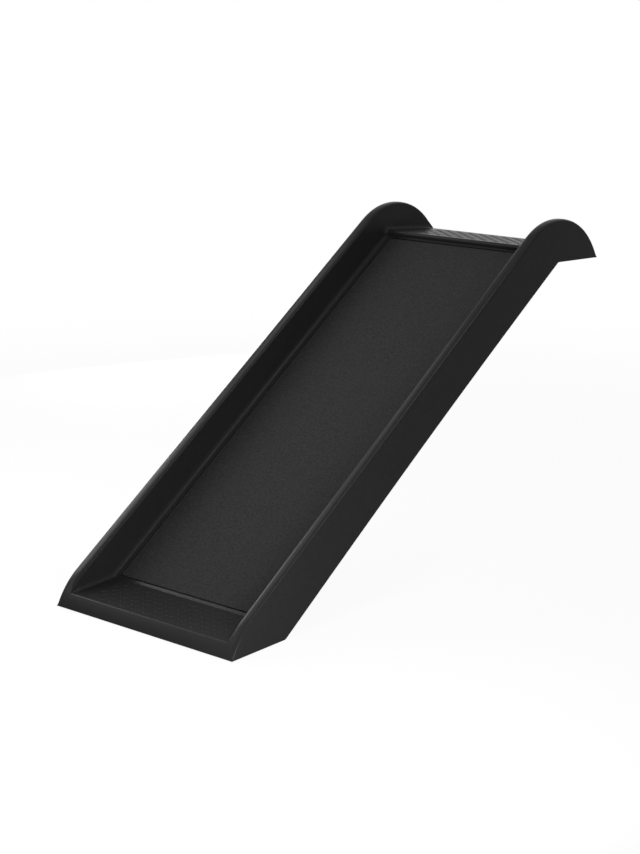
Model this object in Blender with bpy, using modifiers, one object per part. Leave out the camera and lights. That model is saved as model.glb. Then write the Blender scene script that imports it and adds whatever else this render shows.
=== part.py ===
"""Dog ramp: one moulded shell with a tread mat bonded in its deck and push-in rubber pads underneath.

Units are metres. +X is across the ramp, +Y up the ramp and +Z up. The ramp stands as it is used:
the pads of its foot lie on the floor at z = 0, and its lip is all but level, as on a sofa's edge.
A side view point is a pair (y, z) from the shell's front bottom edge. A slope point is a pair (s, n):
s is the distance up the underside from the heel, and n the distance square to it.
"""

import math

import bmesh
import bpy
from mathutils import Matrix, Vector

# Driving dimensions of the shell.
WIDTH = 0.360
RISE = math.radians(33.8)
FOOT_LENGTH = 0.115
UNDERSIDE_LENGTH = 0.841
LIP_LENGTH = 0.123
LIP_DROOP = math.radians(2.6)
LIP_THICKNESS = 0.0238
LIP_FALL = math.radians(4.8)
SKIN = 0.003
BLUNT_EDGE = 0.0015

# Side walls.
WALL_HEIGHT = 0.0822
WALL_WIDTH = 0.0195
WALL_ROUNDING = 0.0052
WALL_DRAFT = math.radians(1.0)
WALL_FOOT_FILLET = 0.0052
NOSE_RADIUS = 0.1187
HUMP_RADIUS = 0.1367
SKIRT_ARCH = 0.0044
HEEL_FILLET = 0.008
NOTCH_FILLET = 0.007

# Walking surface.
DECK_HEIGHT = 0.030
LANDING_EDGE_HEIGHT = 0.0207
LANDING_SLOPE = math.radians(3.1)
RISER_SETBACK = 0.0165
RISER_ROUNDING = 0.0040

# Tread mat and the recess that holds it.
RECESS_START = 0.0065
RECESS_RISER_GAP = 0.002
RECESS_WALL_GAP = 0.004
RECESS_DEPTH = 0.0027
RECESS_CORNER = 0.0095
MAT_EDGE_GAP = 0.0028
MAT_THICKNESS = 0.0020
BOND_LINE = 0.0003

# Ribs under the deck.
RIB_THICKNESS = 0.0025
RIB_FOOT_HEIGHT = 0.0075
RIB_COLUMNS = 3
RIB_SPACING = 0.115
RIB_BITE = 0.0012
CROSS_RIB_SETBACK = 0.001

# Rubber pads: a round head in a counterbore and a stem in the boss behind it.
PAD_RADIUS = 0.011
PAD_HEAD = 0.0030
PAD_PROUD = 0.0015
PAD_EDGE_ROUNDING = 0.0008
STEM_RADIUS = 0.0040
STEM_LENGTH = 0.0080
STEM_TIP_TAPER = 0.0008
BOSS_WALL = 0.0025
PAD_CLEARANCE = 0.0003
PAD_SIDE_INSET = 0.032
PAD_END_INSET = 0.029
LIP_PAD_END_INSET = 0.041

ARC_STEPS = 3
LONG_ARC_STEPS = 9
ROUND_SEGMENTS = 32
SHARP_ANGLE = math.radians(35)

HALF_WIDTH = WIDTH / 2
UP_SLOPE = Vector((math.cos(RISE), math.sin(RISE)))
OFF_SLOPE = Vector((-math.sin(RISE), math.cos(RISE)))
HEEL = Vector((FOOT_LENGTH, 0))
TOE = Vector((0, 0))
ALONG_LIP = Vector((math.cos(LIP_DROOP), -math.sin(LIP_DROOP)))
OFF_LIP = Vector((math.sin(LIP_DROOP), math.cos(LIP_DROOP)))
UP = Vector((0, 1))


# ---------------------------------------------------------------- side view geometry


def on_slope(s, n):
    """The side view point at (s, n)."""
    return HEEL + UP_SLOPE * s + OFF_SLOPE * n


def slope_of(point):
    """The (s, n) of a side view point."""
    return (point - HEEL).dot(UP_SLOPE), (point - HEEL).dot(OFF_SLOPE)


NOTCH = on_slope(UNDERSIDE_LENGTH, 0)
TIP = NOTCH + ALONG_LIP * LIP_LENGTH


def meeting(point_a, along_a, point_b, along_b):
    """Where two side view lines meet."""
    cross = along_a.x * along_b.y - along_a.y * along_b.x
    gap = point_b - point_a
    return point_a + along_a * ((gap.x * along_b.y - gap.y * along_b.x) / cross)


def tangent_centre(radius, end_point, towards_heel):
    """The centre of an arc that touches the wall's straight top and runs down to an end point."""
    s, n = slope_of(end_point)
    centre_n = WALL_HEIGHT - radius
    reach = math.sqrt(radius**2 - (n - centre_n) ** 2)
    return on_slope(s + reach if towards_heel else s - reach, centre_n)


def heading(centre, point):
    """The angle of a point seen from a centre."""
    away = point - centre
    return math.atan2(away.y, away.x)


def arc(centre, radius, start, stop, steps):
    """Points on an arc, both ends included."""
    angles = (start + (stop - start) * k / steps for k in range(steps + 1))
    return [centre + Vector((math.cos(a), math.sin(a))) * radius for a in angles]


def straight(start, stop, steps):
    """Points on a straight run, both ends included."""
    return [start.lerp(stop, k / steps) for k in range(steps + 1)]


def rounded_corner(before, corner, after, radius, steps):
    """A corner between two straight runs, rounded by an arc."""
    back, on = (before - corner).normalized(), (after - corner).normalized()
    half = back.angle(on) / 2
    centre = corner + (back + on).normalized() * (radius / math.sin(half))
    reach = radius / math.tan(half)
    start = heading(centre, corner + back * reach)
    turn = (heading(centre, corner + on * reach) - start + math.pi) % math.tau - math.pi
    return arc(centre, radius, start, start + turn, steps)


def at_height(centre, radius, height, forwards):
    """The point of an arc that lies at a height, on its front or its back half."""
    reach = math.sqrt(radius**2 - (height - centre.y) ** 2)
    return Vector((centre.x + (reach if forwards else -reach), height))


def line_on_arc(centre, radius, point, along):
    """The point where a line leaves an arc, in the direction that it runs."""
    offset = point - centre
    b = offset.dot(along)
    return point + along * (-b + math.sqrt(b * b - offset.length_squared + radius**2))


NOSE_END = TOE + UP * BLUNT_EDGE
LIP_END = TIP + OFF_LIP * BLUNT_EDGE
NOSE_CENTRE = tangent_centre(NOSE_RADIUS, NOSE_END, towards_heel=True)
HUMP_CENTRE = tangent_centre(HUMP_RADIUS, LIP_END, towards_heel=False)
TOP_ANGLE = RISE + math.pi / 2
RISER_START = UNDERSIDE_LENGTH - RISER_SETBACK

# The walking surface: nose, landing, deck, riser and lip.
LANDING_EDGE = at_height(NOSE_CENTRE, NOSE_RADIUS, LANDING_EDGE_HEIGHT, forwards=False)
ALONG_LANDING = Vector((math.cos(LANDING_SLOPE), math.sin(LANDING_SLOPE)))
ALONG_LIP_TOP = Vector((math.cos(LIP_FALL), -math.sin(LIP_FALL)))
LIP_TOP = NOTCH + UP * LIP_THICKNESS
DECK_START = meeting(LANDING_EDGE, ALONG_LANDING, on_slope(0, DECK_HEIGHT), UP_SLOPE)
RISER_FOOT = on_slope(RISER_START, DECK_HEIGHT)
RISER_TOP = meeting(RISER_FOOT, OFF_SLOPE, LIP_TOP, ALONG_LIP_TOP)
LIP_EDGE = line_on_arc(HUMP_CENTRE, HUMP_RADIUS, LIP_TOP, ALONG_LIP_TOP)


def nose_face(inset):
    angles = heading(NOSE_CENTRE, NOSE_END), heading(NOSE_CENTRE, LANDING_EDGE)
    start, stop = (a % math.tau for a in angles)
    return arc(NOSE_CENTRE, NOSE_RADIUS - inset, start, stop, ARC_STEPS)


def nose_curve(inset):
    start = heading(NOSE_CENTRE, LANDING_EDGE) % math.tau
    return arc(NOSE_CENTRE, NOSE_RADIUS - inset, start, TOP_ANGLE, LONG_ARC_STEPS)


def hump_curve(inset):
    stop = heading(HUMP_CENTRE, LIP_EDGE)
    return arc(HUMP_CENTRE, HUMP_RADIUS - inset, TOP_ANGLE, stop, 2 * LONG_ARC_STEPS)


def lip_end_face(inset):
    start, stop = heading(HUMP_CENTRE, LIP_EDGE), heading(HUMP_CENTRE, LIP_END)
    return arc(HUMP_CENTRE, HUMP_RADIUS - inset, start, stop, ARC_STEPS)


def riser_and_lip():
    """From the riser's foot over its rounded top to the lip's far edge, in as many steps as the hump."""
    rounding = rounded_corner(RISER_FOOT, RISER_TOP, LIP_EDGE, RISER_ROUNDING, 2 * ARC_STEPS)
    left = 2 * LONG_ARC_STEPS - 2 * ARC_STEPS - 1
    return [RISER_FOOT, *rounding, *straight(rounding[-1], LIP_EDGE, left)[1:]]


def stretch(*runs):
    """Runs joined end to end, without their shared points."""
    points = list(runs[0])
    for run in runs[1:]:
        points += run[1:]
    return points


def wall_top(inset=0.0):
    """The top edge of a side wall, from the nose to the tip of the lip."""
    nose, hump = nose_curve(inset), hump_curve(inset)
    run = straight(nose[-1], hump[0], LONG_ARC_STEPS)
    return stretch(nose_face(inset), nose, run, hump, lip_end_face(inset))


def walking_surface():
    """The middle of the ramp, with a point for each point of the wall's top."""
    landing = straight(LANDING_EDGE, DECK_START, LONG_ARC_STEPS)
    deck = straight(DECK_START, RISER_FOOT, LONG_ARC_STEPS)
    return stretch(nose_face(0), landing, deck, riser_and_lip(), lip_end_face(0))


def underside():
    """The lower edge, with a point for each point of the wall's top: foot, arched skirt and lip."""
    heel = rounded_corner(TOE, HEEL, NOTCH, HEEL_FILLET, ARC_STEPS)
    notch = rounded_corner(HEEL, NOTCH, TIP, NOTCH_FILLET, ARC_STEPS)
    skirt = [
        point + OFF_SLOPE * SKIRT_ARCH * math.sin(math.pi * k / LONG_ARC_STEPS)
        for k, point in enumerate(straight(heel[-1], notch[0], LONG_ARC_STEPS))
    ]
    foot = straight(TOE, heel[0], LONG_ARC_STEPS)
    lip = straight(notch[-1], TIP, 2 * LONG_ARC_STEPS)
    return stretch(foot, heel, skirt, notch, lip)


# ---------------------------------------------------------------- building blocks


def new_object(name, mesh, collection):
    obj = bpy.data.objects.new(name, mesh)
    collection.objects.link(obj)
    return obj


def mesh_from(bm, name):
    mesh = bpy.data.meshes.new(name)
    bm.to_mesh(mesh)
    bm.free()
    return mesh


def extruded(name, outline, half_thickness, placed, collection):
    """A flat outline made a solid, half of its thickness on each side of its own plane."""
    curve = bpy.data.curves.new(name, "CURVE")
    curve.dimensions = "2D"
    curve.fill_mode = "BOTH"
    curve.extrude = half_thickness
    spline = curve.splines.new("POLY")
    spline.points.add(len(outline) - 1)
    for point, corner in zip(spline.points, outline):
        point.co = (*corner, 0, 1)
    spline.use_cyclic_u = True
    helper = new_object(name + "_outline", curve, collection)
    bpy.context.view_layer.update()
    evaluated = helper.evaluated_get(bpy.context.evaluated_depsgraph_get())
    mesh = bpy.data.meshes.new_from_object(evaluated)
    mesh.name = name
    bpy.data.objects.remove(helper)
    bpy.data.curves.remove(curve)
    mesh.transform(placed)
    bm = bmesh.new()
    bm.from_mesh(mesh)
    bmesh.ops.remove_doubles(bm, verts=bm.verts, dist=1e-5)
    bmesh.ops.recalc_face_normals(bm, faces=bm.faces)
    bm.to_mesh(mesh)
    bm.free()
    return new_object(name, mesh, collection)


def across(middle_x):
    """Places a side view outline: its own x, y and z become the ramp's y, z and x."""
    turn = Matrix(((0, 0, 1), (1, 0, 0), (0, 1, 0))).to_4x4()
    return Matrix.Translation((middle_x, 0, 0)) @ turn


def on_plane(point, rise):
    """Places things on a plane that rises at an angle: their z runs square off it, through a point."""
    return Matrix.Translation((0, *point)) @ Matrix.Rotation(rise, 4, "X")


def cylinder(name, radius, length, collection):
    """A cylinder that stands on its origin."""
    bm = bmesh.new()
    bmesh.ops.create_cone(
        bm,
        cap_ends=True,
        segments=ROUND_SEGMENTS,
        radius1=radius,
        radius2=radius,
        depth=length,
        matrix=Matrix.Translation((0, 0, length / 2)),
    )
    return new_object(name, mesh_from(bm, name), collection)


def add_boolean(obj, operation, other):
    """The exact solver leaves open edges where ribs and bosses cross at some sizes, so this is the other one."""
    modifier = obj.modifiers.new(f"{operation.lower()} {other.name}", "BOOLEAN")
    modifier.operation = operation
    modifier.solver = "MANIFOLD"
    modifier.object = other


def material(name, colour, roughness):
    mat = bpy.data.materials.new(name)
    mat.use_nodes = True
    shader = mat.node_tree.nodes["Principled BSDF"]
    shader.inputs["Base Color"].default_value = (*colour, 1)
    shader.inputs["Roughness"].default_value = roughness
    shader.inputs["Metallic"].default_value = 0
    return mat


def shade(obj, mat):
    obj.data.materials.clear()
    obj.data.materials.append(mat)
    obj.data.shade_smooth()
    obj.data.set_sharp_from_angle(angle=SHARP_ANGLE)


# ---------------------------------------------------------------- the moulded shell


def half_section(top, off_top, floor, off_floor, bottom):
    """One half of a cross-section, from the skirt's lower edge over the wall to the walking surface.

    Where the wall runs out into the nose and the lip's end, its roundings shrink to nothing.
    """
    wall = (top - floor).length
    outer_round = min(WALL_ROUNDING, (top - bottom).length / 2)
    fade = min(1.0, wall / (WALL_ROUNDING + WALL_FOOT_FILLET))
    inner_round = WALL_ROUNDING * fade
    fillet = WALL_FOOT_FILLET * fade
    inner_x = HALF_WIDTH - WALL_WIDTH
    foot_x = inner_x - wall * math.tan(WALL_DRAFT)
    quarter = [k / ARC_STEPS * math.pi / 2 for k in range(ARC_STEPS + 1)]
    points = [(HALF_WIDTH, bottom)]
    for a in quarter:
        x = HALF_WIDTH - outer_round * (1 - math.cos(a))
        points.append((x, top - off_top * outer_round * (1 - math.sin(a))))
    for a in reversed(quarter):
        x = inner_x + inner_round * (1 - math.cos(a))
        points.append((x, top - off_top * inner_round * (1 - math.sin(a))))
    for a in quarter:
        x = foot_x - fillet * (1 - math.cos(a))
        points.append((x, floor + off_floor * fillet * (1 - math.sin(a))))
    return points


def normals(line):
    """The step off a side view line, on its upper side, at each of its points, mitred at its corners."""
    runs = [(stop - start).normalized() for start, stop in zip(line, line[1:])]
    sides = [Vector((-run.y, run.x)) for run in runs]
    mitred = [(a + b) / (1 + a.dot(b)) for a, b in zip(sides, sides[1:])]
    return [sides[0], *mitred, sides[-1]]


def shell_body(collection):
    """The shell's outside as one loft of cross-sections from the nose to the lip's tip, still solid."""
    tops, floors = wall_top(), walking_surface()
    stations = zip(tops, normals(tops), floors, normals(floors), underside())
    bm = bmesh.new()
    rings = []
    for top, off_top, floor, off_floor, bottom in stations:
        half = half_section(top, off_top, floor, off_floor, bottom)
        ring = half + [(-x, point) for x, point in reversed(half)]
        rings.append([bm.verts.new((x, point.x, point.y)) for x, point in ring])
    for ring, after in zip(rings, rings[1:]):
        for k in range(len(ring)):
            j = (k + 1) % len(ring)
            bm.faces.new((ring[k], ring[j], after[j], after[k]))
    bm.faces.new(rings[0])
    bm.faces.new(reversed(rings[-1]))
    bmesh.ops.remove_doubles(bm, verts=bm.verts, dist=1e-5)
    bmesh.ops.dissolve_degenerate(bm, edges=bm.edges, dist=1e-6)
    bmesh.ops.recalc_face_normals(bm, faces=bm.faces)
    return new_object("ramp_shell", mesh_from(bm, "ramp_shell"), collection)


def under_floor(inset):
    """The walking surface seen from below, through its skin: nose, landing, deck, riser and lip."""
    landing = LANDING_EDGE - Vector((-ALONG_LANDING.y, ALONG_LANDING.x)) * inset
    deck = on_slope(0, DECK_HEIGHT - RECESS_DEPTH - inset)
    riser = on_slope(RISER_START + inset, 0)
    lip = LIP_TOP - Vector((-ALONG_LIP_TOP.y, ALONG_LIP_TOP.x)) * inset
    front = line_on_arc(NOSE_CENTRE, NOSE_RADIUS - inset, landing, -ALONG_LANDING)
    back = line_on_arc(HUMP_CENTRE, HUMP_RADIUS - inset, lip, ALONG_LIP_TOP)
    ends = heading(NOSE_CENTRE, NOSE_END) % math.tau, heading(NOSE_CENTRE, front) % math.tau
    nose = arc(NOSE_CENTRE, NOSE_RADIUS - inset, *ends, ARC_STEPS)
    ends = heading(HUMP_CENTRE, back), heading(HUMP_CENTRE, LIP_END)
    lip_end = arc(HUMP_CENTRE, HUMP_RADIUS - inset, *ends, ARC_STEPS)
    deck_start = meeting(landing, ALONG_LANDING, deck, UP_SLOPE)
    riser_foot = meeting(deck, UP_SLOPE, riser, OFF_SLOPE)
    riser_top = meeting(riser, OFF_SLOPE, lip, ALONG_LIP_TOP)
    radius = max(RISER_ROUNDING - inset, BLUNT_EDGE)
    rounding = rounded_corner(riser_foot, riser_top, back, radius, ARC_STEPS)
    return [*nose, deck_start, riser_foot, *rounding, *lip_end]


def open_below(line):
    """A hollow's outline: a line inside the skin, closed well below the underside."""
    clear = WALL_HEIGHT / 2
    below = [on_slope(UNDERSIDE_LENGTH, -clear), on_slope(0, -clear)]
    return [*line, line[-1] - UP * clear, *below, line[0] - UP * clear]


def hollows(collection):
    """What the mould's core leaves empty: the inside of each side wall, and all under the deck."""
    wall = open_below(wall_top(SKIN))
    deck = open_below(under_floor(SKIN))
    half = WALL_WIDTH / 2 - SKIN
    middle = HALF_WIDTH - WALL_WIDTH / 2
    return [
        extruded("hollow_under_deck", deck, middle, across(0), collection),
        extruded("hollow_left_wall", wall, half, across(-middle), collection),
        extruded("hollow_right_wall", wall, half, across(middle), collection),
    ]


def rib_feet():
    """The lower edge of the lengthwise ribs, from the lip back to the nose."""
    height = RIB_FOOT_HEIGHT
    lip = NOTCH + OFF_LIP * height
    slope = on_slope(0, height)
    foot = TOE + UP * height
    flat = Vector((1, 0))
    return [
        line_on_arc(HUMP_CENTRE, HUMP_RADIUS - SKIN + RIB_BITE, lip, ALONG_LIP),
        meeting(lip, ALONG_LIP, slope, UP_SLOPE),
        meeting(slope, UP_SLOPE, foot, flat),
        line_on_arc(NOSE_CENTRE, NOSE_RADIUS - SKIN + RIB_BITE, foot, -flat),
    ]


def above(line, height):
    """The points of a side view line that are higher than a height over the sole."""
    return [point for point in line if point.y > height]


def ribs(collection):
    """Lengthwise ribs from the nose to the lip, and cross ribs from skirt to skirt under the deck."""
    made = []
    top = under_floor(SKIN - RIB_BITE)
    nose, lip_end = top[: ARC_STEPS + 1], top[-ARC_STEPS - 1 :]
    feet = rib_feet()
    outline = [*above(nose, feet[-1].y), *top[ARC_STEPS + 1 : -ARC_STEPS - 1]]
    outline += [*above(lip_end, feet[0].y), *feet]
    for k in range(RIB_COLUMNS):
        x = WIDTH * ((k + 1) / (RIB_COLUMNS + 1) - 0.5)
        made.append(extruded(f"rib_{k + 1}", outline, RIB_THICKNESS / 2, across(x), collection))
    low = RIB_FOOT_HEIGHT + CROSS_RIB_SETBACK
    high = DECK_HEIGHT - RECESS_DEPTH - SKIN + RIB_BITE / 2
    reach = HALF_WIDTH - SKIN + RIB_BITE
    count = int(UNDERSIDE_LENGTH / RIB_SPACING)
    for k in range(count):
        s = RIB_SPACING * (k + 0.5) + (UNDERSIDE_LENGTH - count * RIB_SPACING) / 2
        sides = (s - RIB_THICKNESS / 2, s + RIB_THICKNESS / 2)
        outline = [on_slope(sides[0], low), on_slope(sides[1], low)]
        outline += [on_slope(sides[1], high), on_slope(sides[0], high)]
        made.append(extruded(f"cross_rib_{k + 1}", outline, reach, across(0), collection))
    return made


def pad_places():
    """Each pad's name and where the middle of its seat is, with its z square to the underside."""
    x = HALF_WIDTH - PAD_SIDE_INSET
    rows = [
        ("foot_pad_front", TOE + (HEEL - TOE).normalized() * PAD_END_INSET, 0.0),
        ("foot_pad_rear", HEEL - (HEEL - TOE).normalized() * PAD_END_INSET, 0.0),
        ("lip_pad_inner", NOTCH + ALONG_LIP * PAD_END_INSET, -LIP_DROOP),
        ("lip_pad_outer", TIP - ALONG_LIP * LIP_PAD_END_INSET, -LIP_DROOP),
    ]
    for name, point, rise in rows:
        for side, sign in (("left", -1), ("right", 1)):
            seat = Matrix.Translation((sign * x, 0, 0)) @ on_plane(point, rise)
            yield f"{name}_{side}", seat, point


def floor_height(point):
    """How far the skin over a pad is above its seat."""
    over_foot = point.y < RIB_FOOT_HEIGHT
    start, along = (LANDING_EDGE, ALONG_LANDING) if over_foot else (LIP_TOP, ALONG_LIP_TOP)
    return meeting(point, UP, start, along).y - SKIN - point.y


def boss(name, seat, point, collection):
    """The boss that holds a pad, from the underside up into the skin."""
    radius = PAD_RADIUS + PAD_CLEARANCE + BOSS_WALL
    obj = cylinder(name + "_boss", radius, floor_height(point) + RIB_BITE, collection)
    obj.data.transform(seat)
    return obj


def socket(name, seat, collection):
    """The cutters of a pad's counterbore and of its stem's hole."""
    mouth = PAD_HEAD
    depth = PAD_HEAD - PAD_PROUD + PAD_CLEARANCE
    made = []
    for what, radius, end in (
        ("counterbore", PAD_RADIUS + PAD_CLEARANCE, depth),
        ("stem_hole", STEM_RADIUS + PAD_CLEARANCE, depth + STEM_LENGTH),
    ):
        obj = cylinder(f"{name}_{what}", radius, mouth + end, collection)
        obj.data.transform(seat @ Matrix.Translation((0, 0, -mouth)))
        made.append(obj)
    return made


def build_shell(parts, cutters, holder):
    """The moulding: its solid outside, less the hollows, with the ribs and bosses, less the sockets."""
    shell = shell_body(parts)
    tools = [("DIFFERENCE", obj) for obj in hollows(cutters)]
    tools += [("UNION", obj) for obj in ribs(cutters)]
    places = list(pad_places())
    tools += [("UNION", boss(*place, cutters)) for place in places]
    tools += [("DIFFERENCE", recess(cutters))]
    for name, seat, _ in places:
        tools += [("DIFFERENCE", obj) for obj in socket(name, seat, cutters)]
    for operation, obj in tools:
        obj.hide_render = True
        obj.display_type = "WIRE"
        obj.parent = holder
        add_boolean(shell, operation, obj)
    shell.parent = holder
    shade(shell, material("black_moulded_plastic", (0.012, 0.012, 0.013), 0.42))


# ---------------------------------------------------------------- the tread mat


def rounded_rectangle(half_width, start, stop, radius):
    """Corners (x, s) of a rectangle with rounded corners, anticlockwise."""
    points = []
    for k, (x, s) in enumerate(((1, start), (1, stop), (-1, stop), (-1, start))):
        inwards = radius if s == start else -radius
        centre = Vector((x * (half_width - radius), s + inwards))
        first = math.pi / 2 * (k - 1)
        points += arc(centre, radius, first, first + math.pi / 2, ARC_STEPS)
    return points


def recess_half_width():
    """Half the recess's width, past the wall's drafted foot, its fillet and the ledge."""
    wall = WALL_HEIGHT - DECK_HEIGHT
    foot_x = HALF_WIDTH - WALL_WIDTH - wall * math.tan(WALL_DRAFT)
    return foot_x - WALL_FOOT_FILLET - RECESS_WALL_GAP


def slope_slab(name, low, high, edge_gap, collection):
    """A rounded sheet that lies along the deck between two heights, in from the recess's edge by a gap."""
    outline = rounded_rectangle(
        recess_half_width() - edge_gap,
        RECESS_START + edge_gap,
        RISER_START - RECESS_RISER_GAP - edge_gap,
        RECESS_CORNER - edge_gap,
    )
    placed = on_plane(on_slope(0, (low + high) / 2), RISE)
    return extruded(name, outline, (high - low) / 2, placed, collection)


def recess(collection):
    floor = DECK_HEIGHT - RECESS_DEPTH
    return slope_slab("mat_recess", floor, DECK_HEIGHT + RECESS_DEPTH, 0.0, collection)


def build_mat(parts, holder):
    low = DECK_HEIGHT - RECESS_DEPTH + BOND_LINE
    mat = slope_slab("tread_mat", low, low + MAT_THICKNESS, MAT_EDGE_GAP, parts)
    mat.parent = holder
    shade(mat, material("gritty_tread", (0.030, 0.030, 0.030), 0.95))


# ---------------------------------------------------------------- the rubber pads


def pad_mesh():
    """Half of a pad's outline, turned by a Screw modifier: the stem's tip first, down to its face."""
    seat_top = PAD_HEAD - PAD_PROUD
    stem_tip = seat_top + STEM_LENGTH - PAD_CLEARANCE
    profile = [
        (0, stem_tip),
        (STEM_RADIUS - STEM_TIP_TAPER, stem_tip),
        (STEM_RADIUS, stem_tip - STEM_TIP_TAPER),
        (STEM_RADIUS, seat_top),
        (PAD_RADIUS, seat_top),
        (PAD_RADIUS, PAD_EDGE_ROUNDING - PAD_PROUD),
        (PAD_RADIUS - PAD_EDGE_ROUNDING, -PAD_PROUD),
        (0, -PAD_PROUD),
    ]
    bm = bmesh.new()
    line = [bm.verts.new((r, 0, z)) for r, z in profile]
    for start, stop in zip(line, line[1:]):
        bm.edges.new((start, stop))
    return mesh_from(bm, "pad_profile")


def build_pads(parts, holder):
    mesh = pad_mesh()
    mesh.materials.append(material("black_rubber", (0.016, 0.016, 0.016), 0.75))
    for name, seat, _ in pad_places():
        pad = new_object(name, mesh, parts)
        turn = pad.modifiers.new("turn", "SCREW")
        turn.steps = turn.render_steps = ROUND_SEGMENTS
        turn.use_merge_vertices = True
        turn.merge_threshold = 1e-5
        pad.parent = holder
        pad.matrix_local = seat


# ---------------------------------------------------------------- assembly


def main():
    for obj in list(bpy.data.objects):
        bpy.data.objects.remove(obj)
    parts = bpy.data.collections.new("dog_ramp")
    cutters = bpy.data.collections.new("cutters")
    for collection in (parts, cutters):
        bpy.context.scene.collection.children.link(collection)
    cutters.hide_render = True
    holder = new_object("ramp", None, parts)
    holder.location = (0, -LIP_END.x / 2, PAD_PROUD)
    build_shell(parts, cutters, holder)
    build_mat(parts, holder)
    build_pads(parts, holder)


main()
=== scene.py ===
# %% [markdown]
# # A dog ramp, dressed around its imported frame
#
# The ramp is one hollow moulding of black plastic: two tall side walls with rounded tops, a deck
# between them, a flat landing at the foot and a lip that rests on a sofa, a bed or a car's sill. A
# gritty tread mat is glued in a recess of the deck, and round rubber pads are pushed in
# underneath. The frame gives the real sizes. Each cell below adds one piece or one finish around
# it.

# %% Load the frame
import math
from functools import cache
from itertools import accumulate

import bmesh
import bpy
from mathutils import Matrix, Vector


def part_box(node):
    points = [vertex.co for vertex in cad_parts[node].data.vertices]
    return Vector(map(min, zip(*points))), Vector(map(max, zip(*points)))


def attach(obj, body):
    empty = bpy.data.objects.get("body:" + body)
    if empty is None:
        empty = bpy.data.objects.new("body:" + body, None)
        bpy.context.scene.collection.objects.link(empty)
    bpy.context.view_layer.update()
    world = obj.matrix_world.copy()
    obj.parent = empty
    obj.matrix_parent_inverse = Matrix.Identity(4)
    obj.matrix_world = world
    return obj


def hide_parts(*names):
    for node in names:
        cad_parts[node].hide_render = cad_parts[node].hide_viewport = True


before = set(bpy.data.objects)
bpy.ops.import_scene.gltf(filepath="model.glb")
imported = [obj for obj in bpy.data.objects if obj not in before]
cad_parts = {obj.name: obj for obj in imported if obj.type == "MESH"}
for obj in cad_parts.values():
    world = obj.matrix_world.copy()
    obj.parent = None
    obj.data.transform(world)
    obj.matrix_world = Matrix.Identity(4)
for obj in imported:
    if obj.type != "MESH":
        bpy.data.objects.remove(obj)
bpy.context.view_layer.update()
shell_low, shell_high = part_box("ramp_shell")
print("shell from", tuple(shell_low), "to", tuple(shell_high))

# %% [markdown]
# ## The ramp's own numbers
#
# A moulder would draw the ramp from the side first, so most numbers belong to that side view. The
# ramp climbs along +Y. A point of the side view is a pair (y, z), measured from the front bottom
# edge, and a point on the slope is a pair (s, n): s runs up the underside from the heel, and n
# stands square to it.

# %% Sizes of the moulding, in metres and radians
# The whole and its underside
WIDTH = 0.360
RISE = math.radians(33.8)
SKIN = 0.003
FOOT_LENGTH = 0.115
UNDERSIDE_LENGTH = 0.841
SKIRT_ARCH = 0.0044
HEEL_FILLET = 0.008
NOTCH_FILLET = 0.007
BLUNT_EDGE = 0.0015
# The side walls
WALL_HEIGHT = 0.0822
WALL_WIDTH = 0.0195
WALL_ROUNDING = 0.0034
WALL_CROWN = 0.0082
WALL_DRAFT = math.radians(1.0)
WALL_FOOT_FILLET = 0.0080
NOSE_RADIUS = 0.1187
HUMP_RADIUS = 0.1367
# The lip
LIP_LENGTH = 0.123
LIP_DROOP = math.radians(2.6)
LIP_THICKNESS = 0.0238
LIP_FALL = math.radians(4.8)
# The walking surface
DECK_HEIGHT = 0.030
RECESS_DEPTH = 0.0027
LANDING_EDGE_HEIGHT = 0.0207
LANDING_SLOPE = math.radians(3.1)
LANDING_ROUNDING = 0.0030
CREASE_FILLET = 0.0030
RISER_SETBACK = 0.0165
RISER_ROUNDING = 0.0040
RISER_FILLET = 0.0010
LEAST_ROUNDING = 0.0005

# The shell's front bottom edge stands here in the frame.
FRONT_EDGE = Vector((shell_low.y, shell_low.z))
HALF_WIDTH = shell_high.x
print("half width", round(HALF_WIDTH, 4), "front edge at", tuple(FRONT_EDGE))

# %% Directions and corners of the side view
UP_SLOPE = Vector((math.cos(RISE), math.sin(RISE)))
OFF_SLOPE = Vector((-math.sin(RISE), math.cos(RISE)))
TOE = Vector((0, 0))
HEEL = Vector((FOOT_LENGTH, 0))
ALONG_LIP = Vector((math.cos(LIP_DROOP), -math.sin(LIP_DROOP)))
OFF_LIP = Vector((math.sin(LIP_DROOP), math.cos(LIP_DROOP)))
ALONG_LANDING = Vector((math.cos(LANDING_SLOPE), math.sin(LANDING_SLOPE)))
ALONG_LIP_TOP = Vector((math.cos(LIP_FALL), -math.sin(LIP_FALL)))
LEVEL = Vector((1, 0))
UP = Vector((0, 1))


def on_slope(s, n):
    """The point that is s up the underside from the heel and n off it."""
    return HEEL + UP_SLOPE * s + OFF_SLOPE * n


NOTCH = on_slope(UNDERSIDE_LENGTH, 0)
TIP = NOTCH + ALONG_LIP * LIP_LENGTH
RISER_START = UNDERSIDE_LENGTH - RISER_SETBACK
print("heel", tuple(HEEL), "notch", tuple(NOTCH), "tip", tuple(TIP))


# %% Lines and arcs
def off(along):
    """The direction square to another one, on its upper side."""
    return Vector((-along.y, along.x))


def meeting(point_a, along_a, point_b, along_b):
    """Where two lines of the side view meet."""
    cross = along_a.x * along_b.y - along_a.y * along_b.x
    gap = point_b - point_a
    return point_a + along_a * ((gap.x * along_b.y - gap.y * along_b.x) / cross)


def heading(centre, point):
    """The angle of a point seen from a centre, from 0 to a full turn."""
    away = point - centre
    return math.atan2(away.y, away.x) % math.tau


def arc(centre, radius, start, stop, steps):
    angles = (start + (stop - start) * k / steps for k in range(steps + 1))
    return [centre + Vector((math.cos(a), math.sin(a))) * radius for a in angles]


def straight(start, stop, steps):
    return [start.lerp(stop, k / steps) for k in range(steps + 1)]


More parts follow.
